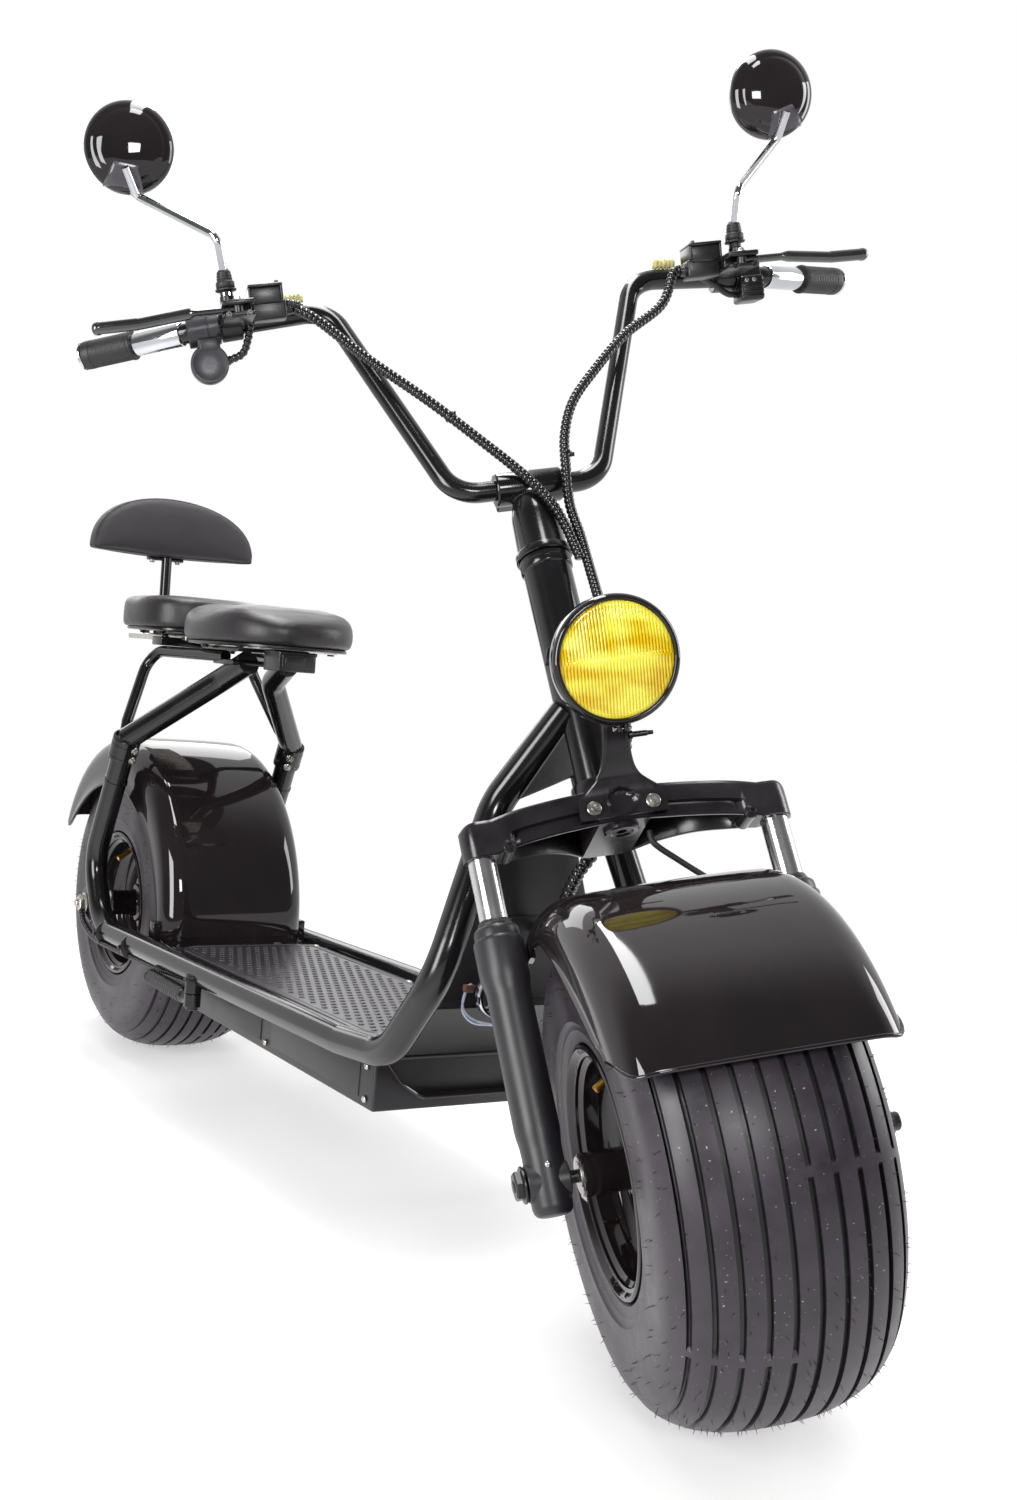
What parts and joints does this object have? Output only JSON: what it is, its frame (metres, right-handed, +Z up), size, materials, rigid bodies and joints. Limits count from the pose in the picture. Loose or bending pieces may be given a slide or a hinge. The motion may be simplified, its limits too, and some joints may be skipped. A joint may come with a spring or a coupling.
{
  "type": "electric chopper scooter",
  "caption": "Electric chopper scooter with fat tyres, round yellow headlight, low deck, rider saddle, passenger pad, backrest and mirrors.",
  "frame": {"origin": "on the ground under the middle of the whole scooter's bounding box, as it leans on its side stand", "axes": "+Z up, -Y the way it drives, +X to the rider's left, the side it leans to"},
  "size_m": [0.871, 1.801, 1.3401],
  "materials": {
    "black_paint": "gloss",
    "box_black": "fine grain",
    "cast_black": "satin, cast texture",
    "chrome": "polished",
    "fabric": "woven",
    "gloss_black": "mirror gloss",
    "mirror": "polished",
    "rubber": "matt",
    "satin_black": "satin",
    "steel": "brushed",
    "tyre": "worn rubber",
    "vinyl": "fine grain",
    "yellow_glass": "clear tint"
  },
  "bodies": {
    "frame": {"backrest_pad": "fabric", "backrest_post": "black_paint", "battery_box": "box_black", "deck_mat": "rubber", "deck_plate": "black_paint", "front_panel": "black_paint", "harness_lower": "rubber", "head_tube": "black_paint", "horn": "satin_black", "nose_lip": "black_paint", "pad_plate": "steel", "passenger_pad": "vinyl", "rear_axle": "steel", "rear_fender": "gloss_black", "saddle": "vinyl", "saddle_plate": "steel", "seat_frame": "black_paint", "side_tube_left": "black_paint", "side_tube_right": "black_paint"},
    "steering": {"brake_hose": "rubber", "brake_lever_left": "satin_black", "brake_lever_right": "satin_black", "brake_perch_left": "satin_black", "brake_perch_right": "satin_black", "fork_crown": "cast_black", "front_axle": "steel", "front_fender": "gloss_black", "grip_left": "rubber", "grip_right": "rubber", "handlebar": "black_paint", "harness_left": "rubber", "harness_right": "rubber", "lamp_bracket": "cast_black", "lamp_lens": "yellow_glass", "lamp_shell": "satin_black", "mirror_body_left": "gloss_black", "mirror_body_right": "gloss_black", "mirror_glass_left": "mirror", "mirror_glass_right": "mirror", "slider_left": "satin_black", "slider_right": "satin_black", "stanchion_left": "chrome", "stanchion_right": "chrome", "steering_stem": "black_paint", "switch_block": "satin_black", "throttle_pod": "satin_black"},
    "front_wheel": {"front_tyre": "tyre", "front_rim": "black_paint"},
    "rear_wheel": {"rear_tyre": "tyre", "rear_rim_motor": "black_paint"},
    "side_stand": {"side_stand": "black_paint"},
    "peg_left": {"peg_left": "black_paint"},
    "peg_right": {"peg_right": "black_paint"}
  },
  "joints": [
    {"name": "steer", "type": "hinge", "parent": "frame", "child": "steering", "pos_m": [-0.08567, -0.62402, 0.19925], "axis": [0.0758, 0.4946, 0.8658], "range_deg": [-10.8, 59.2]},
    {"name": "front_wheel_spin", "type": "hinge", "parent": "steering", "child": "front_wheel", "pos_m": [-0.1084, -0.67285, 0.22913], "axis": [0.9263, -0.3563, 0.1225], "continuous": true},
    {"name": "rear_wheel_spin", "type": "hinge", "parent": "frame", "child": "rear_wheel", "pos_m": [-0.0831, 0.66445, 0.22859], "axis": [0.9962, 0, -0.0872], "continuous": true},
    {"name": "stand_fold", "type": "hinge", "parent": "frame", "child": "side_stand", "pos_m": [0.07107, -0.2076, 0.15503], "axis": [0.8829, 0.0004, 0.4695], "range_deg": [0, 88]},
    {"name": "left_peg_fold", "type": "hinge", "parent": "frame", "child": "peg_left", "pos_m": [0.06378, 0.19741, 0.16339], "axis": [-0.0872, -0.0008, -0.9962], "range_deg": [0, 90]},
    {"name": "right_peg_fold", "type": "hinge", "parent": "frame", "child": "peg_right", "pos_m": [-0.23907, 0.19741, 0.18989], "axis": [0.0872, 0.0008, 0.9962], "range_deg": [0, 90]}
  ]
}
